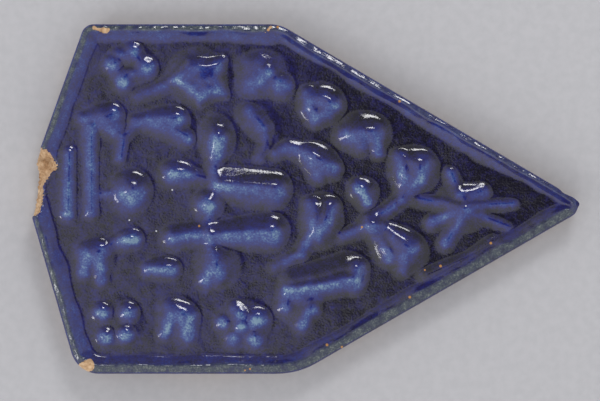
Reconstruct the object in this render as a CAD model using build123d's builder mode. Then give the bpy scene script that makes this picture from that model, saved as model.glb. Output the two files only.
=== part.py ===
from build123d import *

import os
from math import asin, cos, degrees, radians, sin

# Outline of the glazed face: +X runs to the sharp tip, the upper side lies on +Y
length = 155.0
width = 96.0
upper_side = 53.5
lower_side = 60.5
upper_side_start = 16.5
lower_side_start = 14.5
back_point_rise = 2.0
tip_drop = 2.0
back_point_radius = 5.0
upper_back_radius = 3.5
lower_back_radius = 8.0
upper_shoulder_radius = 10.0
lower_shoulder_radius = 22.0
tip_radius = 3.2

# Section: flat back, walls drawn in towards it, and a raised rim round a sunk field
thickness = 10.0
wall_draft = 10.0
rim_width = 2.4
rim_bevel = 0.9
bank_width = 3.4
field_depth = 2.3
field_level = thickness - field_depth

# Relief: round forms sunk in the field; a share of each radius stands out, the root stays below
rise_share = 0.45
relief_root = 2.4

# Radii of the round forms, from the thinnest stem to the end of the longest leaf
stem = 1.8
tendril = 2.2
bump = 3.0
small_lobe = 3.3
petal = 3.6
bud = 4.2
lobe_end = 4.8
leaf_end = 5.4

# Flowers: rings of petals, and one flat star
rosette_ring = 4.8
star_point = 8.2
star_notch = 5.2
star_rise = 1.9
star_flare = 0.12
star_points = 5

# Domes: the hub of the palmette, the knob at the back and the round buds, all with one height
dome_rise = 2.2
hub_radius = 4.8
knob_radius = 6.2
bud_radius = 7.0

# Lost corner at the back point: a break that slants out as it goes down
chip_above = 12.5
chip_below = 6.5
chip_reach = 9.0
chip_notch = 6.0
chip_depth = 7.5
chip_slant = 22.0
chip_margin = 12.0

back_point = (-length / 2, back_point_rise)
upper_back = (-length / 2 + upper_side_start, width / 2)
upper_shoulder = (upper_back[0] + upper_side, width / 2)
tip = (length / 2, -tip_drop)
lower_back = (-length / 2 + lower_side_start, -width / 2)
lower_shoulder = (lower_back[0] + lower_side, -width / 2)
corners = [back_point, upper_back, upper_shoulder, tip, lower_shoulder, lower_back]
corner_radii = [
    back_point_radius,
    upper_back_radius,
    upper_shoulder_radius,
    tip_radius,
    lower_shoulder_radius,
    lower_back_radius,
]


def core(place, radius):
    """Centre of a round form at a place in percent of length and width, sunk to its rise."""
    across, up = place
    sunk = radius * (1 - rise_share)
    return Vector(across * length / 100, up * width / 100, field_level - sunk)


def level_plane(origin, along):
    """Plane that holds a form's axis and lies level across it."""
    sideways = Vector(0, 0, 1).cross(along)
    return Plane(origin=origin, x_dir=along, z_dir=along.cross(sideways))


def bar(start, end):
    """Straight stem with round ends."""
    tail = core(start, stem)
    along = core(end, stem) - tail
    with BuildPart() as form:
        with BuildSketch(level_plane(tail, along)):
            with BuildLine():
                tail_arc = CenterArc((0, 0), stem, 90, 90)
                head_arc = CenterArc((along.length, 0), stem, 0, 90)
                Line(tail_arc @ 0, head_arc @ 1)
                Line(head_arc @ 0, tail_arc @ 1)
            make_face()
        revolve(axis=Axis(tail, along))
    return form.part


def drop(start, end, radius):
    """Leaf, petal or bud: a round head that tapers back to a point at the field."""
    tail = core(start, stem)
    along = core(end, radius) - tail
    lean = degrees(asin(radius / along.length))
    with BuildPart() as form:
        with BuildSketch(level_plane(tail, along)):
            with BuildLine():
                head_arc = CenterArc((along.length, 0), radius, 0, 90 + lean)
                Line(head_arc @ 1, (0, 0))
                Line((0, 0), head_arc @ 0)
            make_face()
        revolve(axis=Axis(tail, along))
    return form.part


def dome(place, radius):
    """Round bud with a level crown."""
    crown_radius = (radius**2 + dome_rise**2) / (2 * dome_rise)
    with BuildPart() as form:
        with Locations(core(place, 0) + Vector(0, 0, dome_rise - crown_radius)):
            Sphere(crown_radius, rotation=(90, 0, 0))
    return form.part


def rosette(place, petals, radius, first_angle):
    """Ring of equal round petals."""
    with BuildPart() as ring:
        with Locations(core(place, radius)):
            with PolarLocations(rosette_ring, petals, start_angle=first_angle):
                Sphere(radius, rotation=(90, 0, 0))
    return ring.part


def star(place, first_angle):
    """Flat-topped star flower with sloping sides."""
    middle = core(place, 0)
    step = 180 / star_points
    turns = [radians(first_angle + step * index) for index in range(2 * star_points)]
    reaches = [star_point, star_notch] * star_points
    with BuildPart() as flower:
        for level, spread in ((-star_rise, 1 + star_flare), (star_rise, 1 - star_flare)):
            outline = [
                (spread * reach * cos(turn), spread * reach * sin(turn))
                for reach, turn in zip(reaches, turns)
            ]
            with BuildSketch(Plane(middle).offset(level)):
                with BuildLine():
                    Polyline(*outline, close=True)
                make_face()
        loft(ruled=True)
    return flower.part


# Flowers in the corners and along the edges
relief = [
    rosette((-31.3, 38.4), 4, petal, 80),
    dome((-7.4, 36), bud_radius),
    rosette((-11.2, -35.3), 5, bump, 20),
    rosette((-33.8, -35), 4, bump, 45),
    star((-19.1, 34.6), 38),
]

# Central palmette: hub, two long leaves, side buds and a bud above and below
relief += [
    dome((-17.4, -0.9), hub_radius),
    drop((-17.5, 4.4), (-6.2, 3.1), leaf_end),
    drop((-21, -9.8), (-6.2, -8.8), leaf_end),
    drop((-15, -9.9), (-23.4, -10), bud),
    drop((-16, 5.6), (-23.4, 7.8), bud),
    drop((-17.2, 3), (-15.6, 17.4), lobe_end),
    drop((-17.6, -6), (-16, -19.6), lobe_end),
]

# Left border: knob, two upright bars, fan leaves and drops
relief += [
    dome((-31, 3.1), knob_radius),
    bar((-42.1, 13.5), (-42.3, -3.5)),
    bar((-38.3, 20.5), (-38.2, -3)),
    drop((-40.5, 23), (-34.6, 23.6), bud),
    drop((-32, 22.4), (-23.2, 23.4), bud),
    drop((-33, -14), (-38.6, -15.4), bud),
    drop((-38.8, -11), (-39.5, -19.6), small_lobe),
    drop((-36.8, -11), (-36.4, -21), small_lobe),
    drop((-30, -19.8), (-24.2, -19.4), petal),
    drop((-25.8, -27), (-22, -32), bud),
    drop((-23.6, -28), (-25.1, -36.6), bump),
    drop((-21.2, -29), (-20.9, -37.6), small_lobe),
]

# Buds and leaves beyond the palmette
relief += [
    dome((2.7, 27.3), bud_radius),
    dome((10.3, 19.2), bud_radius),
    drop((-7.5, 14.6), (3, 10.8), lobe_end),
    drop((-7.2, 11.5), (-8.6, 22.6), lobe_end),
    drop((-1, -15.4), (1.2, -2.6), bud),
    drop((-0.6, -15.8), (4.2, -3), bud),
    dome((10.1, 2.3), hub_radius),
    drop((-6.2, -25.6), (7.3, -21.8), leaf_end),
    drop((-3.4, -22), (-3.8, -30), bump),
    drop((1.3, -22), (1, -30.6), bump),
]

# Two pairs of leaves on the way to the tip, and the last spray
relief += [
    drop((10.9, -3.6), (14.3, -15.4), petal),
    drop((10.6, -5), (18, -12.8), lobe_end),
    drop((17, -1.5), (16.9, 11), petal),
    drop((18.4, -2.4), (20.6, 9.8), lobe_end),
    drop((18, 1), (27.8, -1.6), tendril),
    drop((29, -2.6), (25.8, 6.4), tendril),
    drop((27.4, -2.2), (30.6, 2.4), bump),
    drop((29.2, -0.8), (25, -11.2), tendril),
    drop((37.4, -0.8), (28.6, -1.4), tendril),
    drop((36.4, -8), (28.8, -3.2), tendril),
]

# All relief forms in one, cut level below the field so that the back stays flat
with BuildPart() as ornament:
    add(relief)
    split(bisect_by=Plane.XY.offset(field_level - relief_root), keep=Keep.TOP)

with BuildPart() as tile:
    with BuildSketch(Plane.XY.offset(thickness)):
        with BuildLine():
            Polyline(*corners, close=True)
        make_face()
    extrude(amount=-thickness)
    draft(tile.faces().filter_by(Axis.Z, reverse=True), Plane.XY.offset(thickness), -wall_draft)
    for corner, radius in zip(corners, corner_radii):
        fillet(tile.edges().sort_by_distance((*corner, thickness / 2))[0], radius)
    chamfer(tile.faces().sort_by(Axis.Z)[-1].edges(), rim_bevel)

    # Sunk field inside the rim, with a sloping bank all round
    with BuildSketch(Plane.XY.offset(thickness)):
        with BuildLine():
            Polyline(*corners, close=True)
        make_face()
        offset(amount=-rim_width, kind=Kind.INTERSECTION, mode=Mode.REPLACE)
    with BuildSketch(Plane.XY.offset(field_level)):
        with BuildLine():
            Polyline(*corners, close=True)
        make_face()
        offset(amount=-rim_width - bank_width, kind=Kind.INTERSECTION, mode=Mode.REPLACE)
    loft(ruled=True, mode=Mode.SUBTRACT)

    add(ornament.part)

    # Broken back corner
    with BuildSketch(Plane.XY.offset(thickness)):
        with BuildLine():
            Polyline(
                (back_point[0] - chip_margin, back_point[1] + chip_above + chip_margin),
                (back_point[0] + chip_notch, back_point[1] + chip_above),
                (back_point[0] + chip_reach, back_point[1] + chip_above / 2),
                (back_point[0] + chip_notch, back_point[1]),
                (back_point[0] + chip_notch / 2, back_point[1] - chip_below),
                (back_point[0] - chip_margin, back_point[1] - chip_below),
                close=True,
            )
        make_face()
    extrude(amount=-chip_depth, taper=chip_slant, mode=Mode.SUBTRACT)

tile.part.label = "tile"
os.makedirs("parts", exist_ok=True)
export_step(tile.part, "parts/tile.step")
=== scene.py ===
import math

import bpy
import numpy as np
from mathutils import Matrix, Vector


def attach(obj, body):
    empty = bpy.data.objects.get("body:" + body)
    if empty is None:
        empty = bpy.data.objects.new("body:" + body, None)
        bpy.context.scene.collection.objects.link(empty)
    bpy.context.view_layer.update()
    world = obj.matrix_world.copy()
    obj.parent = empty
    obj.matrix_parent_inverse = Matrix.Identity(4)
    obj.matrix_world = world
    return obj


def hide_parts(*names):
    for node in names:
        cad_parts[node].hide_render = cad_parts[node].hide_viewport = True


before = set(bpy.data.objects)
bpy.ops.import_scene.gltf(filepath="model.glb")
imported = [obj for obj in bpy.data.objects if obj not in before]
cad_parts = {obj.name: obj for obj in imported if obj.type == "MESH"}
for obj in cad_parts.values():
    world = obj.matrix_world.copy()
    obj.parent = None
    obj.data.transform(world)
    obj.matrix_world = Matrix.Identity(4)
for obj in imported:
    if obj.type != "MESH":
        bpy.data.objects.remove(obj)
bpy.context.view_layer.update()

# Lengths are in millimetres, in the frame's axes, until a mesh, lamp or camera is made
METRE = 1000.0
SEED = 7

# Outline of the glazed face as corners with their radii, clockwise from the back point
CORNERS = (
    ((-77.5, 2.0), 5.0),
    ((-61.0, 48.0), 3.5),
    ((-7.5, 48.0), 10.0),
    ((77.5, -2.0), 3.2),
    ((-2.5, -48.0), 22.0),
    ((-63.0, -48.0), 8.0),
)
ARC_STEPS = 24

# Section through the rim: flat back, drafted wall, bevelled edge, crest, bank and sunk field
THICKNESS = 10.0
WALL_DRAFT = math.radians(10)
BACK_ROUND = 0.7
EDGE_DROP = 1.2
EDGE_ROUND = 0.45
EDGE_CURVE = 3.0
BEVEL = 0.4
CREST_ROUND = 0.3
FIELD_DEPTH = 2.3
FIELD = THICKNESS - FIELD_DEPTH

# The crest lies further in along the lower sides, and the bank behind it is steeper there
CREST = 1.6
LOWER_CREST = 2.5
BANK_WIDTH = 3.4
LOWER_BANK_WIDTH = 2.7
BANK_POWER = 1.7
LOWER_BANK_POWER = 1.4
RIGHT_BANK_LOSS = 1.3
RIM_BLUR = 0.24
FIELD_FADE = 0.5

# Crest and bank waver in waves of these sizes
CREST_WAVER = 0.3
CREST_WAVE = 2.6
BANK_WAVER = 0.9
LOWER_BANK_WAVER = 0.4
BANK_WAVE = 2.4

# Parts of the outward normal between which a side counts as lower or right
LOWER_FACING = (0.4, 0.85)
RIGHT_FACING = (0.2, 0.5)

# Random waves of the glaze and bumps of the rim: height, size and seed of each kind
GLAZE_WAVES = ((0.04, 3.0, SEED), (0.012, 0.8, SEED + 1))
RIM_BUMPS = ((0.16, 1.6, SEED + 5), (0.08, 0.5, SEED + 8))

# Raster that the relief is worked out on, and the grid of the face that is laid over it
CELL = 0.2
HALF_LENGTH = 78.0
HALF_WIDTH = 48.0
MARGIN = 4.0
ROWS = 244
COLUMNS = 360
EDGE_STEPS = (0.0, 0.06, 0.16, 0.3, 0.48, 0.7, 0.95, 1.2, 1.45, 1.7, 2.0, 2.3)
WALL_RINGS = 6

# Relief: ridges are steep on the side that they lean to, and the glaze smooths them
LEAN = 0.28
LEAN_WAY = (0.35, 0.94)
RIDGE_POWER = 1.7
RIDGE_RISE = 0.75
GROOVE_POWER = 1.5
DISH_REACH = (0.8, 3.8)
MOUND_POWER = 2.0
MOUND_BLUR = 0.3
RIDGE_BLUR = 0.36
UNION_POWER = 4

raster_x = np.arange(-HALF_LENGTH - MARGIN, HALF_LENGTH + MARGIN, CELL)
raster_y = np.arange(-HALF_WIDTH - MARGIN, HALF_WIDTH + MARGIN, CELL)
X, Y = np.meshgrid(raster_x, raster_y)


# Fields on the raster

def smoothstep(value, low, high):
    """Smooth rise from 0 at low to 1 at high."""
    share = np.clip((value - low) / (high - low), 0, 1)
    return share * share * (3 - 2 * share)


def blur(field, sigma):
    """Gaussian blur of a raster field; sigma is in millimetres."""
    reach = int(math.ceil(3 * sigma / CELL))
    offsets = np.arange(-reach, reach + 1)
    weights = np.exp(-0.5 * (offsets * CELL / sigma) ** 2)
    weights /= weights.sum()
    for axis in (0, 1):
        field = sum(w * np.roll(field, int(o), axis) for o, w in zip(offsets, weights))
    return field


def noise(size, seed):
    """Smooth random field with lumps of about this size, from -1 to 1 or so."""
    field = blur(np.random.default_rng(seed).standard_normal(X.shape), size)
    return field / (2 * field.std())


def waves(kinds):
    """Sum of random fields, each with its height, size and seed."""
    return sum(height * noise(size, seed) for height, size, seed in kinds)


def sample(field, x, y):
    """Bilinear reading of a raster field at points."""
    u = (x - raster_x[0]) / CELL
    v = (y - raster_y[0]) / CELL
    i = np.clip(u.astype(int), 0, X.shape[1] - 2)
    j = np.clip(v.astype(int), 0, X.shape[0] - 2)
    u = u - i
    v = v - j
    low = field[j, i] * (1 - u) + field[j, i + 1] * u
    high = field[j + 1, i] * (1 - u) + field[j + 1, i + 1] * u
    return low * (1 - v) + high * v


def along(start, end, x, y):
    """Distance of points from a straight run, and how far along it they lie, from 0 to 1."""
    run = np.subtract(end, start)
    square = max(float(run @ run), 1e-9)
    share = np.clip(((x - start[0]) * run[0] + (y - start[1]) * run[1]) / square, 0, 1)
    return np.hypot(x - start[0] - share * run[0], y - start[1] - share * run[1]), share


# Outline

def rounded_outline():
    """Corner points of the outline with their radii, turned into one closed line of points."""
    points = []
    for index, (corner, radius) in enumerate(CORNERS):
        here = Vector(corner)
        back = (Vector(CORNERS[index - 1][0]) - here).normalized()
        ahead = (Vector(CORNERS[(index + 1) % len(CORNERS)][0]) - here).normalized()
        half = 0.5 * back.angle(ahead)
        centre = here + (back + ahead).normalized() * radius / math.sin(half)
        first = here + back * radius / math.tan(half) - centre
        last = here + ahead * radius / math.tan(half) - centre
        for step in range(ARC_STEPS + 1):
            way = first.normalized().slerp(last.normalized(), step / ARC_STEPS)
            points.append(centre + radius * way)
    return np.array([tuple(p) for p in points])


outline = rounded_outline()
top_y = outline[:, 1].max()
bottom_y = outline[:, 1].min()


def outline_distance(x, y):
    """Distance of points from the outline, and the outward normal of the nearest run of it."""
    nearest = np.full(np.shape(x), np.inf)
    normal_x = np.zeros(np.shape(x))
    normal_y = np.zeros(np.shape(x))
    for start, end in zip(outline, np.roll(outline, -1, axis=0)):
        run = end - start
        size = math.hypot(*run)
        if size < 1e-6:
            continue
        distance, _ = along(start, end, x, y)
        closer = distance < nearest
        nearest = np.where(closer, distance, nearest)
        normal_x = np.where(closer, -run[1] / size, normal_x)
        normal_y = np.where(closer, run[0] / size, normal_y)
    return nearest, normal_x, normal_y


# Broken back corner as (y, x) points: where the glaze stops, and the outer line of the fracture
CHIP_GLAZE = (
    (14.2, -74.0), (13.4, -71.3), (11.2, -69.6), (8.2, -68.4), (7.5, -70.2),
    (4.9, -71.6), (3.3, -72.7), (1.1, -72.4), (-3.6, -73.2), (-4.9, -75.4),
)
CHIP_OUTER = (
    (14.2, -74.0), (9.9, -74.4), (7.4, -73.9), (3.8, -74.1), (-0.3, -74.4), (-4.9, -75.4),
)
CHIP_DEPTH = 5.5
CHIP_LIP = 0.5
CHIP_CURVE = 0.8
CHIP_NARROWEST = 0.3
CHIP_ROUGHNESS = 0.5
CHIP_GRAIN = 0.7

# Ripples of those two lines: height, rate and start of each
CHIP_GLAZE_RIPPLES = ((0.15, 7, 0), (0.1, 17, 0))
CHIP_OUTER_RIPPLES = ((0.12, 5.1, 0), (0.1, 11.3, 1))

# Wear of the tip: place across it, reach and depth, which is below zero where the tip stands out
TIP_WEAR = ((1.6, 0.9, 0.9), (-1.2, 0.8, -0.5))

# Flaked places on the edge as short runs with a radius
FLAKES = (
    ((-61.6, -46.2), (-59.8, -45.6), 1.7),
    ((-58.2, 47.0), (-55.0, 46.0), 0.7),
    ((-9.9, 47.2), (-11.5, 45.6), 0.5),
)
FLAKE_RAGGEDNESS = 0.5
FLAKE_GRAIN = 0.7
FLAKE_CORE = 0.7


def line_x(points, y):
    """x on a line of (y, x) points that runs down the tile, at heights y."""
    ys, xs = np.transpose(points[::-1])
    return np.interp(y, ys, xs)


def ripple(waves_of_line, y):
    """Small sine waves along a line, at heights y."""
    return sum(height * np.sin(rate * y + start) for height, rate, start in waves_of_line)


def in_chip(y):
    """Where a height lies between the two ends of the break."""
    return (y < CHIP_GLAZE[0][0]) & (y > CHIP_GLAZE[-1][0])


def side_lines(y):
    """Left and right end of the face at heights y, with the break and the worn tip."""
    arc = ARC_STEPS + 1
    right = outline[2 * arc:5 * arc]
    left = np.concatenate([outline[5 * arc:], outline[:2 * arc]])
    right_x = np.interp(-y, -right[:, 1], right[:, 0])
    left_x = np.interp(y, left[:, 1], left[:, 0])
    broken_x = line_x(CHIP_OUTER, y) + ripple(CHIP_OUTER_RIPPLES, y)
    left_x = np.where(in_chip(y), np.maximum(left_x, broken_x), left_x)
    worn = sum(depth * np.exp(-((y - place) / reach) ** 2) for place, reach, depth in TIP_WEAR)
    return left_x, right_x - worn


# Relief: low mounds with ridges, plateaus and grooves on them, pressed into the field

mounds = np.zeros(X.shape)
swell = np.zeros(X.shape)
carve = np.zeros(X.shape)


def ridge_field(points, widths, heights, power, lean=0.0):
    """Rounded form along a line of points; half-width and height run evenly from end to end."""
    points = [np.array(p, float) for p in points]
    if len(points) == 1:
        points.append(points[0] + 1e-3)
    lengths = [np.hypot(*(b - a)) for a, b in zip(points, points[1:])]
    ends = np.concatenate([[0], np.cumsum(lengths)]) / sum(lengths)
    field = np.zeros(X.shape)
    for start, end, low, high in zip(points, points[1:], ends, ends[1:]):
        distance, share = along(start, end, X, Y)
        place = low + (high - low) * share
        off_x = X - start[0] - share * (end[0] - start[0])
        off_y = Y - start[1] - share * (end[1] - start[1])
        facing = (LEAN_WAY[0] * off_x + LEAN_WAY[1] * off_y) / np.maximum(distance, 1e-6)
        width = (widths[0] + (widths[-1] - widths[0]) * place) * (1 - lean * facing)
        height = heights[0] + (heights[-1] - heights[0]) * place
        round_top = np.clip(1 - (distance / width) ** 2, 0, None) ** power
        field = np.maximum(field, height * round_top)
    return field


def ridge(points, widths, heights):
    """Adds a ridge to the relief, joined smoothly with what it meets."""
    global swell
    form = ridge_field(points, widths, heights, RIDGE_POWER, LEAN)
    swell = swell + (RIDGE_RISE * form) ** UNION_POWER


def groove(points, widths, depths):
    """Presses a groove into the relief."""
    global carve
    carve = np.maximum(carve, ridge_field(points, widths, depths, GROOVE_POWER))


def long_mound(points, widths, rise):
    """Low soft-footed dome along a line of points."""
    global mounds
    mounds = np.maximum(mounds, ridge_field(points, widths, (rise,), MOUND_POWER))


def mound(centre, reach, rise, tilt=0.0):
    """Low soft-footed oval dome; reach is its two half-axes."""
    global mounds
    turn = math.radians(tilt)
    u = (X - centre[0]) * math.cos(turn) + (Y - centre[1]) * math.sin(turn)
    v = (Y - centre[1]) * math.cos(turn) - (X - centre[0]) * math.sin(turn)
    inside = np.clip(1 - (u / reach[0]) ** 2 - (v / reach[1]) ** 2, 0, None)
    mounds = np.maximum(mounds, rise * inside ** MOUND_POWER)


def plateau(points, height, flank, dish):
    """Flat-topped form inside a closed line of points, with sloping flanks and a dished top."""
    global swell
    inside = np.zeros(X.shape, bool)
    edge = np.full(X.shape, np.inf)
    for start, end in zip(points, points[1:] + points[:1]):
        distance, _ = along(start, end, X, Y)
        edge = np.minimum(edge, distance)
        crosses = (start[1] > Y) != (end[1] > Y)
        rise = end[1] - start[1] if end[1] != start[1] else 1e-9
        inside ^= crosses & (X < start[0] + (Y - start[1]) * (end[0] - start[0]) / rise)
    depth = np.where(inside, edge, -edge)
    form = height * smoothstep(depth, -flank / 2, flank / 2) - dish * smoothstep(depth, *DISH_REACH)
    swell = swell + np.clip(form, 0, None) ** UNION_POWER


def corner_flowers():
    """Rosettes along the two straight sides, and the star flower between them."""
    mound((-48.5, 36.9), (7.6, 6.8), 0.4)
    upper_petals = (
        ((-53.2, 37.6), 3.2),
        ((-47.6, 41.2), 3.3),
        ((-43.7, 36.8), 3.5),
        ((-50.4, 32.9), 3.4),
    )
    for place, radius in upper_petals:
        ridge([place], (radius,), (1.1,))
    ridge([(-51.8, 40.0), (-46.0, 39.2), (-45.6, 35.2), (-51.6, 34.2)], (2.4,), (0.7,))
    mound((-11.4, 34.6), (8.6, 7.4), 0.9)
    ridge([(-15.2, 32.2), (-13.6, 33.2)], (4.2,), (0.6,))
    ridge([(-15.4, 37.2), (-12.4, 37.8)], (4.4,), (0.4,))
    ridge([(-6.6, 31.8)], (4.2,), (0.9,))
    ridge([(-10.8, 35.4)], (3.4,), (0.7,))
    mound((-17.4, -33.9), (8.6, 7.0), 1.1)
    ridge([(-19.4, -29.6), (-18.4, -31.0)], (3.0,), (0.8,))
    ridge([(-23.0, -33.4)], (2.8,), (0.8,))
    ridge([(-20.2, -37.8)], (3.2,), (0.8,))
    ridge([(-13.0, -32.2)], (3.8,), (1.3,))
    ridge([(-14.0, -38.2)], (3.2,), (1.1,))
    ridge([(-18.0, -34.8)], (2.4,), (0.8,))
    mound((-52.4, -33.6), (8.8, 7.8), 0.4)
    for place in ((-56.3, -30.4), (-48.8, -30.4), (-55.2, -37.2), (-49.6, -36.7)):
        ridge([place], (3.2,), (1.5,))
    mound((-29.6, 33.8), (9.6, 8.8), 1.2)
    star = [
        (-37.8, 32.8), (-34.6, 35.6), (-32.4, 38.0), (-27.2, 37.6), (-22.8, 38.6),
        (-24.2, 33.8), (-22.2, 28.6), (-26.4, 28.4), (-29.6, 26.2), (-33.2, 30.0),
    ]
    plateau(star, height=1.3, flank=2.6, dish=0.25)
    ridge([(-37.0, 32.6), (-41.0, 30.4), (-46.4, 28.6)], (2.4, 2.2), (0.7, 0.3))


def palmette():
    """Hub with two long leaves, side buds, and a bud above and below."""
    long_mound([(-22.6, 4.8), (-15.5, 4.2), (-8.8, 3.4)], (4.9, 5.2), 1.6)
    ridge([(-24.6, 4.2), (-18.0, 3.2), (-9.4, 2.8)], (3.0, 5.4), (0.8, 1.2))
    ridge([(-18.0, 3.4), (-8.2, 3.2)], (4.0, 4.6), (0.9, 1.1))
    long_mound([(-26.4, -9.4), (-9.8, -8.5)], (3.4, 5.8), 1.4)
    ridge([(-30.0, -10.4), (-22.0, -9.8), (-9.8, -8.6)], (2.6, 5.0), (0.6, 1.2))
    mound((-27.0, -0.9), (4.9, 4.4), 1.2)
    ridge([(-27.0, -0.9)], (4.4,), (1.0,))
    ridge([(-25.6, 8.0), (-25.0, 3.4), (-26.4, 0.0), (-27.2, -9.0)], (2.6,), (0.7,))
    long_mound([(-28.0, -8.8), (-36.6, -10.0)], (3.4, 3.8), 0.8)
    ridge([(-28.0, -9.0), (-36.8, -10.2)], (3.0, 3.6), (0.6, 0.8))
    mound((-35.4, 7.6), (5.6, 3.9), 1.1, -8)
    ridge([(-37.0, 7.4), (-33.4, 7.4), (-28.0, 6.0)], (3.8, 2.4), (0.9, 0.5))
    mound((-24.6, 16.8), (5.8, 7.4), 1.3)
    ridge([(-25.6, 8.0), (-24.8, 13.0), (-24.2, 17.4)], (2.4, 4.0), (0.8, 1.4))
    mound((-24.2, -17.8), (7.2, 7.4), 1.1)
    ridge([(-26.8, -10.0), (-25.4, -15.0), (-24.8, -19.8)], (2.6, 4.0), (0.8, 1.2))
    ridge([(-26.0, -18.8), (-27.6, -21.6)], (3.4, 3.0), (1.0, 1.1))


def left_border():
    """Knob, upright bars, fans and drops beside the back edges."""
    mound((-48.1, 3.0), (6.4, 6.1), 1.5)
    ridge([(-48.1, 3.0)], (6.4,), (1.2,))
    ridge([(-65.3, 13.0), (-65.5, 3.0), (-65.6, -3.4)], (2.3, 2.5), (1.2, 1.6))
    ridge([(-59.3, 20.0), (-59.2, -3.0)], (2.6, 2.4), (1.5, 1.2))
    groove([(-62.4, 12.0), (-62.4, -3.0)], (1.9,), (0.3,))
    groove([(-56.4, 12.0), (-56.4, -1.0)], (2.0,), (0.3,))
    ridge([(-59.0, 1.6), (-53.6, 1.8)], (1.9,), (0.6,))
    mound((-55.6, 22.2), (6.6, 5.2), 0.5, -12)
    ridge([(-61.4, 22.4), (-56.6, 21.0), (-51.6, 18.2)], (2.4, 2.6), (0.8, 0.9))
    ridge([(-59.4, 22.6), (-55.8, 23.6), (-53.2, 23.8)], (2.8, 3.8), (0.8, 1.3))
    ridge([(-55.6, 22.2), (-52.4, 20.6)], (3.6, 3.4), (1.0, 1.0))
    mound((-38.0, 21.2), (7.8, 5.6), 0.6, -6)
    ridge([(-47.0, 21.6), (-41.0, 22.4), (-35.6, 22.8)], (2.6, 3.8), (0.8, 1.4))
    ridge([(-43.0, 21.2), (-37.0, 19.4), (-33.0, 17.4)], (2.8, 3.0), (0.8, 0.9))
    ridge([(-46.6, 21.2), (-50.4, 17.0), (-51.2, 11.6)], (2.2, 1.9), (0.6, 0.5))
    mound((-58.2, -16.0), (6.4, 6.4), 0.9)
    ridge([(-60.4, -14.2), (-56.4, -13.2)], (3.6, 3.6), (1.1, 1.3))
    ridge([(-60.6, -15.0), (-61.2, -19.6)], (3.2, 2.8), (0.9, 0.9))
    ridge([(-57.0, -14.8), (-56.4, -21.6)], (3.2, 2.6), (1.0, 0.8))
    ridge([(-55.0, -12.6), (-51.0, -11.0)], (2.4, 2.8), (0.7, 0.8))
    mound((-48.8, -10.8), (4.4, 3.2), 1.1)
    ridge([(-50.0, -11.0), (-47.4, -10.4)], (3.0,), (1.1,))
    mound((-39.6, -18.8), (5.8, 3.6), 0.9)
    ridge([(-43.4, -18.8), (-37.2, -18.6)], (2.6, 3.2), (0.8, 1.3))
    mound((-35.4, -32.6), (6.4, 6.6), 1.1)
    ridge([(-37.4, -29.2), (-33.4, -31.0)], (3.4, 4.0), (0.8, 1.1))
    ridge([(-37.4, -30.0), (-39.0, -36.4)], (2.8, 2.5), (0.8, 1.0))
    ridge([(-32.0, -31.6), (-32.4, -37.0)], (3.2, 2.9), (1.1, 1.0))


def middle_buds():
    """Buds and leaves above and below the tips of the long leaves."""
    mound((4.2, 26.2), (7.4, 6.5), 1.6)
    ridge([(0.6, 29.2), (0.8, 25.4), (2.2, 22.6)], (3.0, 2.8), (0.9, 0.8))
    ridge([(2.0, 28.4), (5.4, 28.0), (7.4, 26.8)], (3.2, 3.4), (0.8, 1.3))
    ridge([(7.4, 26.6), (5.6, 24.2), (2.8, 22.4)], (3.4, 2.8), (1.1, 0.8))
    groove([(3.6, 25.8)], (2.4,), (0.25,))
    mound((15.9, 18.4), (8.4, 6.5), 1.7)
    ridge([(11.0, 18.0), (14.0, 18.4), (18.6, 19.2)], (3.8, 4.0), (1.0, 1.3))
    ridge([(12.6, 17.2), (14.8, 15.4)], (3.8, 3.4), (0.8, 0.7))
    ridge([(19.0, 18.4), (19.6, 13.4)], (3.2, 2.4), (1.2, 0.8))
    groove([(16.4, 17.0), (17.4, 13.6)], (1.2, 1.4), (0.35, 0.4))
    mound((3.6, 10.6), (7.2, 5.2), 1.5, -35)
    ridge([(-8.6, 13.0), (-4.6, 14.6), (1.0, 13.0)], (2.2, 3.6), (0.5, 1.2))
    ridge([(1.0, 12.6), (7.0, 9.2)], (3.8, 3.6), (1.3, 1.0))
    ridge([(1.6, 11.6), (3.2, 7.4)], (3.4, 3.2), (0.9, 0.8))
    mound((-12.8, 21.2), (6.4, 5.4), 0.4, -40)
    ridge([(-15.8, 24.2), (-12.0, 20.0)], (3.8, 3.4), (0.5, 0.5))
    ridge([(-12.0, 20.0), (-11.0, 15.0), (-12.8, 12.0)], (2.4, 2.0), (0.5, 0.3))
    mound((4.2, -5.8), (6.4, 8.6), 1.8, -8)
    ridge([(1.6, -1.2), (2.0, -8.4), (-1.6, -14.6)], (3.2, 2.4), (1.2, 0.8))
    ridge([(6.8, -1.4), (5.6, -5.4), (2.8, -10.0)], (3.2, 2.8), (1.3, 0.9))
    ridge([(-1.6, -14.6), (-9.0, -18.4)], (2.2, 1.9), (0.7, 0.3))
    mound((15.6, 2.2), (4.9, 4.4), 1.1)
    ridge([(14.4, 3.6), (16.6, -0.4)], (3.0, 2.8), (0.9, 0.8))
    long_mound([(-4.0, -22.6), (4.0, -21.4), (11.2, -20.0)], (4.0, 6.4), 1.6)
    ridge([(-5.4, -25.2), (4.0, -23.9), (13.0, -21.8)], (2.6, 3.4), (1.5, 1.9))
    ridge([(13.4, -22.6), (14.2, -18.4)], (3.4, 3.0), (1.8, 1.7))
    mound((-2.0, -29.6), (6.4, 5.8), 0.8)
    ridge([(-5.4, -24.6), (-6.0, -29.2)], (2.8, 2.7), (1.0, 1.1))
    ridge([(-4.8, -26.0), (2.4, -26.0)], (2.8,), (0.9,))
    ridge([(2.0, -26.0), (1.6, -29.8)], (2.2, 2.8), (0.5, 1.2))
    ridge([(0.6, -30.6), (-1.2, -34.2)], (2.6, 2.5), (0.8, 1.0))


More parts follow.
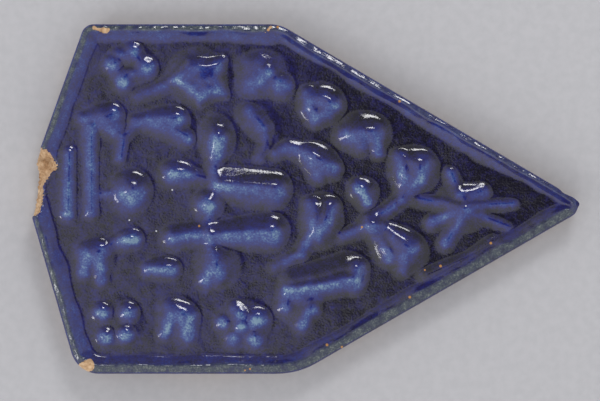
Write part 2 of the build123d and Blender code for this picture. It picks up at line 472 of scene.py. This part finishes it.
def tip_spray():
    """Stem to the tip with its two large buds and the last star-shaped spray."""
    ridge([(10.0, -9.8), (17.0, -7.0)], (2.2, 2.6), (0.5, 0.8))
    ridge([(17.0, -5.0), (21.6, -3.2), (26.0, 0.4)], (2.4, 2.2), (0.8, 0.8))
    mound((26.0, -13.6), (8.8, 6.8), 1.6, -28)
    mound((18.0, -7.2), (4.4, 4.0), 1.5)
    ridge([(16.8, -6.2), (20.2, -10.6), (22.4, -15.4)], (2.8, 3.0), (0.9, 0.9))
    ridge([(18.4, -6.4), (23.0, -8.8), (29.0, -12.4)], (2.8, 3.6), (1.0, 1.2))
    ridge([(27.6, -13.0), (26.4, -19.0)], (4.0, 2.6), (0.8, 0.5))
    mound((29.6, 8.2), (7.8, 7.4), 1.8)
    ridge([(25.8, 12.0), (26.6, 5.6), (26.4, 0.6)], (3.0, 2.5), (1.1, 0.8))
    ridge([(32.2, 10.6), (31.0, 5.8), (27.4, 1.6)], (3.8, 2.6), (1.3, 0.8))
    ridge([(27.4, 11.2), (31.2, 10.8)], (2.6, 3.2), (0.8, 1.1))
    mound((42.6, -2.2), (8.4, 7.4), 1.4, -20)
    ridge([(39.6, 7.4), (41.4, 3.4), (43.8, 0.6)], (2.5, 2.5), (0.7, 0.6))
    ridge([(42.0, 2.0), (45.4, 2.2), (48.2, 2.6)], (2.6, 3.0), (0.8, 1.1))
    ridge([(29.6, 0.6), (35.0, -0.6), (42.0, -1.8)], (2.3, 2.3), (0.5, 0.5))
    ridge([(43.4, -2.4), (34.8, -5.8)], (2.4, 2.7), (0.6, 0.8))
    ridge([(43.6, -3.0), (38.4, -11.6)], (2.4, 2.7), (0.6, 0.7))
    ridge([(44.0, -1.6), (57.0, -1.0)], (2.4, 1.6), (0.7, 0.5))
    ridge([(44.0, -2.8), (55.6, -7.4)], (2.3, 1.5), (0.6, 0.4))
    long_mound([(32.6, -21.0), (38.6, -18.6), (44.4, -16.4), (51.0, -11.6)], (2.6, 2.2), 0.6)


corner_flowers()
palmette()
left_border()
middle_buds()
tip_spray()

# Rim with its bank, and the height of the glaze above the field

from_edge, edge_right, edge_up = outline_distance(X, Y)
lower_side = smoothstep(-edge_up, *LOWER_FACING)
right_side = smoothstep(edge_right, *RIGHT_FACING) * (1 - lower_side)
crest = CREST + (LOWER_CREST - CREST) * lower_side + CREST_WAVER * noise(CREST_WAVE, SEED + 4)
bank_width = BANK_WIDTH + (LOWER_BANK_WIDTH - BANK_WIDTH) * lower_side - RIGHT_BANK_LOSS * right_side
bank_waver = BANK_WAVER + (LOWER_BANK_WAVER - BANK_WAVER) * lower_side
bank_width = bank_width + bank_waver * noise(BANK_WAVE, SEED + 6)
bank_power = BANK_POWER + (LOWER_BANK_POWER - BANK_POWER) * lower_side
rim = blur(np.clip(1 - (from_edge - crest) / bank_width, 0, 1) ** bank_power, RIM_BLUR)
open_field = 1 - smoothstep(rim, 0.0, FIELD_FADE)
relief = swell ** (1 / UNION_POWER) * open_field
shape = blur(relief - carve, RIDGE_BLUR) + blur(mounds * open_field, MOUND_BLUR)
glaze = np.maximum(shape, FIELD_DEPTH * rim)
glaze = glaze + waves(GLAZE_WAVES) + rim * waves(RIM_BUMPS)

# How thin the glaze lies, from 0 in the thickest pool to 1 in the thinnest film; slopes that face down
# also get painted light and slopes that face up painted shade
POOL = 0.17
RIGHT_POOL_LOSS = 0.12
POOL_TURN = (-15, 15)
FILM_WAVER = 0.07
FILM_WAVE = 1.4
FILM_BLUR = 0.4
WALL_FILM = 0.3

# What mounds and ridges add to it, their heights at none and all of that, and the share on upper slopes;
# upper slopes are painted darker and lower slopes lighter, as painted light and shade of the light from
# the lower left
PAINTED_LIGHT_SLOPES = (-0.4, 0.25)
MOUND_FILM = 0.24
MOUND_HEIGHTS = (0.2, 1.8)
MOUND_SHARE_IN_PAINTED_SHADE = 0.2
RIDGE_FILM = 0.34
RIDGE_HEIGHTS = (0.03, 0.5)
RIDGE_SHARE_IN_PAINTED_SHADE = 0.3

# What the lines of the crests add, and how much more on low ridges in the right half
CREST_FILM = 0.22
CREST_SPREAD = 1.5
CREST_FLOOR = 0.2
CREST_SHARPNESS = (0.06, 0.28)
RIGHT_CREST_FILM = 0.16
RIGHT_CREST_TURN = (-10, 15)
LOW_RIDGES = (0.5, 1.0)

# What the bank adds
BANK_FILM = 0.34
RIGHT_BANK_FILM = 0.05
LOWER_BANK_FILM_LOSS = 0.3
BANK_SPREAD = 0.6
BANK_FOOT = (0.0, 0.1)

# Round places where the glaze has run thin, or below zero thick: x, y, reach and how much
BLOOMS = (
    (-11.4, 34.6, 6.5, 0.15), (-48.1, 3.0, 5.0, 0.12), (-35.4, 7.6, 4.0, 0.1),
    (-48.8, -10.8, 3.5, 0.15), (-47.6, 41.0, 3.0, 0.12), (-53.2, 37.6, 2.6, 0.12),
    (-43.8, 36.6, 3.0, 0.12), (-50.4, 32.8, 2.8, 0.12), (-65.5, 1.0, 4.0, 0.1),
    (-27.0, -0.9, 3.0, 0.1), (-17.5, -34.5, 6.0, 0.12), (-52.4, -33.6, 6.0, 0.08),
    (-40.0, -25.2, 2.2, 0.15), (-35.0, -33.0, 5.0, 0.12), (15.6, 2.2, 3.5, 0.15),
    (-29.6, 33.0, 3.8, -0.22), (-48.6, 37.2, 2.2, -0.25), (-48.1, 3.6, 2.8, -0.3),
    (-48.4, -0.6, 3.0, 0.15), (-9.5, 3.0, 4.0, -0.15), (-17.0, 3.2, 4.0, -0.12),
    (-35.0, 7.0, 2.0, -0.1),
)


def thin_glaze_and_painted_light():
    """How thin the glaze lies: most on domes, crests and the bank; slopes that face down are painted
    lighter and slopes that face up darker, as painted light and shade of the light from the lower left.
    """
    # Painted light and shade: the film is raised on slopes that face down and cut on slopes that face up,
    # as if lit from the lower left
    painted_light_below = smoothstep(np.gradient(shape, CELL, axis=0), *PAINTED_LIGHT_SLOPES)
    mound_painted_light = MOUND_SHARE_IN_PAINTED_SHADE + (1 - MOUND_SHARE_IN_PAINTED_SHADE) * painted_light_below
    ridge_painted_light = RIDGE_SHARE_IN_PAINTED_SHADE + (1 - RIDGE_SHARE_IN_PAINTED_SHADE) * painted_light_below
    pool = POOL - RIGHT_POOL_LOSS * smoothstep(X, *POOL_TURN)
    thin = pool + MOUND_FILM * smoothstep(shape, *MOUND_HEIGHTS) * mound_painted_light
    thin = thin + RIDGE_FILM * smoothstep(relief, *RIDGE_HEIGHTS) * ridge_painted_light
    crest_line = (relief - blur(relief, CREST_SPREAD)) / (relief + CREST_FLOOR)
    low_right = smoothstep(X, *RIGHT_CREST_TURN) * (1 - smoothstep(relief, *LOW_RIDGES))
    crest_film = CREST_FILM + RIGHT_CREST_FILM * low_right
    thin = thin + crest_film * smoothstep(crest_line, *CREST_SHARPNESS)
    bank = smoothstep(blur(rim, BANK_SPREAD), *BANK_FOOT) * (1 - LOWER_BANK_FILM_LOSS * lower_side)
    bank = bank * (BANK_FILM + RIGHT_BANK_FILM * right_side)
    thin = np.maximum(thin, pool + bank) + FILM_WAVER * noise(FILM_WAVE, SEED + 2)
    for spot_x, spot_y, reach, share in BLOOMS:
        thin = thin + share * np.exp(-((X - spot_x) ** 2 + (Y - spot_y) ** 2) / reach ** 2)
    return blur(thin, FILM_BLUR)


# Wear and bare body: the glaze ends in drips on the wall, and the rim is worn between edge and crest
DRIP_HEIGHT = 1.4
DRIP_SIZE = 4.0
GLAZE_END = (3.0, 5.0)
WEAR_START = (0.2, 0.6)
WEAR_END = (0.9, 1.3)
RIGHT_WEAR_LOSS = 0.55


# Face mesh

def graded(start, end, count):
    """Values from start to end, close together near both ends and even between them."""
    near = np.array(EDGE_STEPS)
    inner = np.linspace(0, 1, count - 2 * len(near) + 2)[1:-1]
    first = start + near
    last = end - near[::-1]
    return np.concatenate([first, first[-1] + inner * (last[0] - first[-1]), last])


def face_grid():
    """x, y of the face's grid: rows across the tile, each from its left to its right side."""
    rows = graded(bottom_y, top_y, ROWS)
    left, right = side_lines(rows)
    x = np.array([graded(a, b, COLUMNS) for a, b in zip(left, right)])
    return x, np.repeat(rows[:, None], COLUMNS, axis=1)


def flakes(x, y):
    """Mask of the ragged places at the edge where the glaze has flaked off."""
    ragged = FLAKE_RAGGEDNESS * sample(noise(FLAKE_GRAIN, SEED + 7), x, y)
    mask = np.zeros(x.shape)
    for start, end, radius in FLAKES:
        distance, _ = along(start, end, x, y)
        mask = np.maximum(mask, 1 - smoothstep(distance + ragged, FLAKE_CORE * radius, radius))
    return mask


def edge_fall(distance, crest_at):
    """How far the edge falls off outside the crest: an even bevel, then a rounded arris."""
    outside = crest_at - distance
    bevel = BEVEL * 0.5 * (outside + np.sqrt(outside ** 2 + CREST_ROUND ** 2))
    return bevel + EDGE_CURVE * np.clip(EDGE_ROUND - distance, 0, None) ** 2


def face_height(x, y):
    """Height of the glazed face, with its bevelled edge and the slope of the break."""
    distance, _, _ = outline_distance(x, y)
    z = FIELD + sample(glaze, x, y) - edge_fall(distance, sample(crest, x, y))
    glaze_end = line_x(CHIP_GLAZE, y) + ripple(CHIP_GLAZE_RIPPLES, y)
    outer = line_x(CHIP_OUTER, y)
    share = np.clip((glaze_end - x) / np.maximum(glaze_end - outer, CHIP_NARROWEST), 0, 1)
    rough = 1 + CHIP_ROUGHNESS * sample(noise(CHIP_GRAIN, SEED + 3), x, y)
    broken = in_chip(y) & (x < glaze_end)
    fall = (CHIP_LIP + (CHIP_DEPTH - CHIP_LIP) * share ** CHIP_CURVE) * rough
    return np.where(broken, z - fall, z), broken.astype(float)


def closed_shell(x, y, z):
    """Points and faces of the closed tile: the glazed face, the drafted walls and the flat back."""
    index = np.arange(ROWS * COLUMNS).reshape(ROWS, COLUMNS)
    loop = np.concatenate([index[0, :-1], index[:-1, -1], index[-1, :0:-1], index[:0:-1, 0]])
    quads = np.stack([index[:-1, :-1], index[:-1, 1:], index[1:, 1:], index[1:, :-1]], -1)
    faces = quads.reshape(-1, 4).tolist()
    points = [np.stack([x, y, z], -1).reshape(-1, 3)]
    loop_x, loop_y, loop_z = points[0][loop].T
    recess, normal_x, normal_y = outline_distance(loop_x, loop_y)
    rings = []
    for level in np.linspace(1, 0, WALL_RINGS + 1)[1:]:
        ring_z = level * loop_z + (1 - level) * BACK_ROUND
        inset = np.clip((THICKNESS - EDGE_DROP - ring_z) * math.tan(WALL_DRAFT) - recess, 0, None)
        rings.append((inset, ring_z))
    rings.append((inset + BACK_ROUND, np.zeros(len(loop))))
    previous = loop
    for number, (inset, ring_z) in enumerate(rings):
        ring = x.size + number * len(loop) + np.arange(len(loop))
        points.append(np.stack([loop_x - inset * normal_x, loop_y - inset * normal_y, ring_z], -1))
        faces += np.stack([previous, ring, np.roll(ring, -1), np.roll(previous, -1)], -1).tolist()
        previous = ring
    faces.append(previous[::-1].tolist())
    return np.concatenate(points), faces


def masks(x, y, broken, walls):
    """How thin the glaze is, with painted light and shade on its slopes, how worn the rim and how bare
    the body is, at each point of the mesh.
    """
    flat_x = x.ravel()
    flat_y = y.ravel()
    wall_x, wall_y, wall_z = walls.T
    drips = DRIP_HEIGHT * sample(noise(DRIP_SIZE, SEED + 9), wall_x, wall_y)
    bare_wall = 1 - smoothstep(wall_z + drips, *GLAZE_END)
    bare_face = np.maximum(broken, flakes(x, y)).ravel()
    distance = outline_distance(x, y)[0].ravel()
    to_crest = distance / sample(crest, flat_x, flat_y)
    worn = smoothstep(distance, *WEAR_START) * (1 - smoothstep(to_crest, *WEAR_END))
    worn = worn * (1 - RIGHT_WEAR_LOSS * sample(right_side, flat_x, flat_y))
    return {
        # The thin mask also holds painted light on slopes facing down and painted shade on slopes facing
        # up
        "thin": np.concatenate([sample(thin_glaze_and_painted_light(), flat_x, flat_y), np.full(len(walls), WALL_FILM)]),
        "rim": np.concatenate([worn, np.zeros(len(walls))]),
        "bare": np.concatenate([bare_face, bare_wall]),
    }


def tile_mesh():
    """Mesh of the tile, with its masks as attributes of the points."""
    x, y = face_grid()
    z, broken = face_height(x, y)
    points, faces = closed_shell(x, y, z)
    mesh = bpy.data.meshes.new("glazed_tile")
    mesh.from_pydata((points / METRE).tolist(), [], faces)
    mesh.shade_smooth()
    for name, values in masks(x, y, broken, points[x.size:]).items():
        attribute = mesh.attributes.new(name, "FLOAT", "POINT")
        attribute.data.foreach_set("value", values.astype(np.float32))
    return mesh


# Material

# Spots are solid in this share of their radius, and lie only on the face, above these levels
SPOT_CORE = 0.4
FACE_LEVELS = (FIELD - 0.9, FIELD - 0.5)


class Graph:
    """Small helper that adds nodes to a material or world and links their sockets."""

    def __init__(self, tree):
        self.tree = tree
        self.tree.nodes.clear()

    def add(self, kind, settings=None, **sockets):
        node = self.tree.nodes.new(kind)
        for name, value in (settings or {}).items():
            setattr(node, name, value)
        for name, value in sockets.items():
            socket = node.inputs[int(name[1:])] if name[0] == "_" else node.inputs[name.replace("_", " ")]
            if isinstance(value, bpy.types.NodeSocket):
                self.tree.links.new(value, socket)
            else:
                socket.default_value = value
        return node

    def attribute(self, name):
        return self.add("ShaderNodeAttribute", {"attribute_name": name}).outputs["Fac"]

    def math(self, operation, a, b):
        return self.add("ShaderNodeMath", {"operation": operation}, _0=a, _1=b).outputs[0]

    def vector(self, operation, a, b):
        return self.add("ShaderNodeVectorMath", {"operation": operation}, _0=a, _1=b)

    def weighted(self, a, a_share, b, b_share):
        return self.math("ADD", self.math("MULTIPLY", a, a_share), self.math("MULTIPLY", b, b_share))

    def swing(self, value, strength):
        return self.math("MULTIPLY", self.math("SUBTRACT", value, 0.5), strength)

    def mix(self, factor, a, b):
        node = self.add("ShaderNodeMix", {"data_type": "RGBA"}, _0=factor, _6=a, _7=b)
        return node.outputs[2]

    def noise(self, place, size, detail=2.0):
        node = self.add("ShaderNodeTexNoise", Vector=place, Scale=METRE / size, Detail=detail)
        return node.outputs["Fac"]

    def range(self, value, low, high, to_low=0.0, to_high=1.0):
        settings = {"interpolation_type": "SMOOTHSTEP"}
        node = self.add("ShaderNodeMapRange", settings, _0=value, _1=low, _2=high, _3=to_low, _4=to_high)
        return node.outputs[0]

    def spots(self, place, spots):
        flat = self.vector("MULTIPLY", place, (1, 1, 0)).outputs[0]
        mask = 0.0
        for x, y, radius in spots:
            centre = (x / METRE, y / METRE, 0)
            away = self.vector("DISTANCE", flat, centre).outputs["Value"]
            spot = self.range(away, radius / METRE, SPOT_CORE * radius / METRE)
            mask = self.math("MAXIMUM", mask, spot)
        level = self.add("ShaderNodeSeparateXYZ", Vector=place).outputs["Z"]
        on_face = self.range(level, *(height / METRE for height in FACE_LEVELS))
        return self.math("MULTIPLY", mask, on_face)

    def ramp(self, value, stops):
        node = self.add("ShaderNodeValToRGB", Fac=value)
        elements = node.color_ramp.elements
        while len(elements) < len(stops):
            elements.new(1.0)
        for element, (place, colour) in zip(elements, stops):
            element.position = place
            element.color = (*colour, 1.0)
        return node.outputs["Color"]


# Glaze colours from the thickest pool to the thinnest film
GLAZE_STOPS = (
    (0.0, (0.007, 0.006, 0.014)),
    (0.2, (0.014, 0.012, 0.054)),
    (0.4, (0.017, 0.016, 0.108)),
    (0.6, (0.016, 0.025, 0.168)),
    (0.8, (0.036, 0.072, 0.232)),
    (1.0, (0.140, 0.225, 0.330)),
)
RIM_STOPS = (
    (0.38, (0.014, 0.020, 0.040)),
    (0.48, (0.028, 0.038, 0.062)),
    (0.58, (0.052, 0.066, 0.082)),
    (0.72, (0.150, 0.165, 0.160)),
)
GOLD = (0.42, 0.20, 0.05, 1.0)
PALE = (0.55, 0.56, 0.62, 1.0)
BUFF_STOPS = (
    (0.3, (0.30, 0.17, 0.085)),
    (0.5, (0.50, 0.32, 0.18)),
    (0.75, (0.66, 0.48, 0.31)),
)
PAPER_STOPS = (
    (0.35, (0.437, 0.434, 0.458)),
    (0.65, (0.464, 0.461, 0.485)),
)

# Sizes of the grains of glaze, rim, bare body, bumps and paper
FINE_GRAIN = 0.5
COARSE_GRAIN = 1.9
RIM_GRAIN = 0.45
BODY_GRAIN = 0.9
BUMP_GRAIN = 0.5
PAPER_GRAIN = 2.5

# How strongly the grains show in the colours, and where the bare body starts
FINE_SHARE = 0.55
COARSE_SHARE = 0.45
MOTTLE = 1.4
RIM_GRAIN_SHARE = 0.6
RIM_COVER = (0.3, 0.55, 0.55, 1.0)
BARE_SWING = 0.5
BARE_START = (0.4, 0.6)

# Surface of the glaze and of the bare body, which is rougher and bumpier by these
GLAZE_ROUGHNESS = (0.3, 0.7, 0.06, 0.11)
BODY_ROUGHNESS = 0.75
BODY_BUMP = 3.0
BUMP_STRENGTH = 0.35
BUMP_HEIGHT = 0.08
GLAZE_IOR = 1.56
PAPER_ROUGHNESS = 0.9

# Small marks, each with its place and radius: spots where the body shows rusty, and pale pinholes
GOLD_SPOTS = (
    (-8.0, 47.2, 0.5), (-10.6, 46.4, 0.5), (-15.6, -46.6, 0.35), (-17.0, -47.0, 0.3), (5.5, -40.0, 0.5),
    (9.6, -40.6, 0.45), (28.2, -26.9, 0.5), (36.7, -18.4, 0.5), (50.5, -12.1, 0.5), (32.4, -19.5, 0.35),
    (25.4, 26.8, 0.5), (-29.6, -7.4, 0.4), (15.1, -7.7, 0.4),
)
PINHOLES = ((-37.0, 2.5, 0.3), (-41.4, -8.8, 0.3), (-48.8, -5.8, 0.3), (43.6, -1.9, 0.3))


def glazed_stonepaste():
    """Glossy cobalt glaze that thins to turquoise on crests, over a buff body bare at the breaks."""
    material = bpy.data.materials.new("glazed_stonepaste")
    material.use_nodes = True
    g = Graph(material.node_tree)
    place = g.add("ShaderNodeTexCoord").outputs["Object"]
    thin = g.attribute("thin")
    bare = g.attribute("bare")
    rim = g.attribute("rim")
    fine = g.noise(place, FINE_GRAIN, 4.0)
    coarse = g.noise(place, COARSE_GRAIN, 3.0)

    uneven = g.weighted(fine, FINE_SHARE, coarse, COARSE_SHARE)
    # The thin attribute also holds painted light and shade: lighter colour on slopes facing down, darker
    # on slopes facing up
    colour = g.ramp(g.math("ADD", thin, g.swing(uneven, MOTTLE)), GLAZE_STOPS)
    grit = g.weighted(g.noise(place, RIM_GRAIN, 3.0), RIM_GRAIN_SHARE, coarse, COARSE_SHARE)
    rim_share = g.math("MULTIPLY", rim, g.range(coarse, *RIM_COVER))
    colour = g.mix(rim_share, colour, g.ramp(grit, RIM_STOPS))
    colour = g.mix(g.spots(place, GOLD_SPOTS), colour, GOLD)
    colour = g.mix(g.spots(place, PINHOLES), colour, PALE)
    ragged = g.range(g.math("ADD", bare, g.swing(coarse, BARE_SWING)), *BARE_START)
    colour = g.mix(ragged, colour, g.ramp(g.noise(place, BODY_GRAIN, 4.0), BUFF_STOPS))

    body_roughness = g.math("MULTIPLY", ragged, BODY_ROUGHNESS)
    roughness = g.math("ADD", g.range(fine, *GLAZE_ROUGHNESS), body_roughness)
    bumpiness = g.math("ADD", g.math("MULTIPLY", ragged, BODY_BUMP), 1.0)
    grain = g.math("MULTIPLY", g.noise(place, BUMP_GRAIN, 3.0), bumpiness)
    bump = g.add("ShaderNodeBump", Strength=BUMP_STRENGTH, Distance=BUMP_HEIGHT / METRE, Height=grain)
    shader = g.add(
        "ShaderNodeBsdfPrincipled",
        Base_Color=colour,
        Roughness=roughness,
        IOR=GLAZE_IOR,
        Normal=bump.outputs["Normal"],
    )
    g.add("ShaderNodeOutputMaterial", Surface=shader.outputs[0])
    return material


def paper_floor():
    """Matt pale grey paper with a faint mottle."""
    material = bpy.data.materials.new("grey_paper")
    material.use_nodes = True
    g = Graph(material.node_tree)
    place = g.add("ShaderNodeTexCoord").outputs["Object"]
    colour = g.ramp(g.noise(place, PAPER_GRAIN, 4.0), PAPER_STOPS)
    shader = g.add("ShaderNodeBsdfPrincipled", Base_Color=colour, Roughness=PAPER_ROUGHNESS)
    g.add("ShaderNodeOutputMaterial", Surface=shader.outputs[0])
    return material


tile = bpy.data.objects.new("glazed_tile", tile_mesh())
bpy.context.collection.objects.link(tile)
tile.data.materials.append(glazed_stonepaste())
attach(tile, "root")
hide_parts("tile")

# Floor, light and camera: floor and lamps in metres, bearings in degrees
FLOOR_SIZE = 6.0
floor_mesh = bpy.data.meshes.new("floor")
half = FLOOR_SIZE / 2
floor_corners = [(-half, -half, 0), (half, -half, 0), (half, half, 0), (-half, half, 0)]
floor_mesh.from_pydata(floor_corners, [], [(0, 1, 2, 3)])
floor = bpy.data.objects.new("floor", floor_mesh)
bpy.context.collection.objects.link(floor)
floor.data.materials.append(paper_floor())

ZENITH = 0.8
HORIZON = 1.0
DARK_CEILING = 0.05
CEILING_TILT = (0.125, 0.085)
CEILING_SPREAD = (11.0, 7.0)
DARK_SIDE = 0.6
DARK_SIDE_TURN = (75, 25)
DARK_SIDE_SPREAD = (58, 20)
SOFT_SIDE = 0.45
SOFT_SIDE_TURN = (218, 44)
SOFT_SIDE_SPREAD = (60, 10)


def direction_to(azimuth, elevation):
    """Unit vector to a place on the sky, from its bearings in degrees."""
    turn = math.radians(azimuth)
    rise = math.radians(elevation)
    return Vector((math.cos(turn) * math.cos(rise), math.sin(turn) * math.cos(rise), math.sin(rise)))


def soft_sky():
    """Studio light with a soft bright side, a dark side and a dark patch of ceiling above the tile."""
    world = bpy.data.worlds.new("soft_studio")
    world.use_nodes = True
    bpy.context.scene.world = world
    g = Graph(world.node_tree)
    direction = g.add("ShaderNodeTexCoord").outputs["Generated"]

    def towards(way, wide, narrow):
        facing = g.vector("DOT_PRODUCT", direction, way).outputs["Value"]
        return g.range(facing, math.cos(math.radians(wide)), math.cos(math.radians(narrow)))

    bright = towards(direction_to(*SOFT_SIDE_TURN), *SOFT_SIDE_SPREAD)
    dark = towards(direction_to(*DARK_SIDE_TURN), *DARK_SIDE_SPREAD)
    up = g.add("ShaderNodeSeparateXYZ", Vector=direction).outputs["Z"]
    light = g.math("ADD", g.range(up, 0.0, 1.0, HORIZON, ZENITH), g.math("MULTIPLY", bright, SOFT_SIDE))
    light = g.math("MULTIPLY", light, g.math("SUBTRACT", 1.0, g.math("MULTIPLY", dark, DARK_SIDE)))
    patch = towards(Vector((*CEILING_TILT, 1.0)).normalized(), *CEILING_SPREAD)
    light = g.add("ShaderNodeMix", _0=patch, _2=light, _3=DARK_CEILING).outputs[0]
    background = g.add("ShaderNodeBackground", Color=(1.0, 1.0, 1.0, 1.0), Strength=light)
    g.add("ShaderNodeOutputWorld", Surface=background.outputs[0])


def strip_lamp(name, azimuth, elevation, distance, size, power):
    """Oblong area lamp that points at the tile, level along its length."""
    data = bpy.data.lights.new(name, "AREA")
    data.shape = "RECTANGLE"
    data.size, data.size_y = size
    data.energy = power
    body = bpy.data.objects.new(name, data)
    bpy.context.collection.objects.link(body)
    way = direction_to(azimuth, elevation)
    body.location = way * distance
    body.rotation_euler = (-way).to_track_quat("-Z", "Y").to_euler()


soft_sky()
strip_lamp("strip", azimuth=75, elevation=46, distance=1.2, size=(0.4, 0.2), power=3.9)
strip_lamp("fill", azimuth=208, elevation=46, distance=1.2, size=(0.15, 0.15), power=0.8)

VIEW_WIDTH = 164.5
VIEW_MIDDLE = (-1.9, -0.4)
CAMERA_DISTANCE = 1000.0
SENSOR = 36.0
camera_data = bpy.data.cameras.new("camera")
camera_data.sensor_width = SENSOR
camera_data.lens = SENSOR * CAMERA_DISTANCE / VIEW_WIDTH
camera = bpy.data.objects.new("camera", camera_data)
bpy.context.collection.objects.link(camera)
camera.location = Vector((*VIEW_MIDDLE, THICKNESS + CAMERA_DISTANCE)) / METRE
bpy.context.scene.camera = camera
bpy.context.scene.view_settings.view_transform = "Standard"
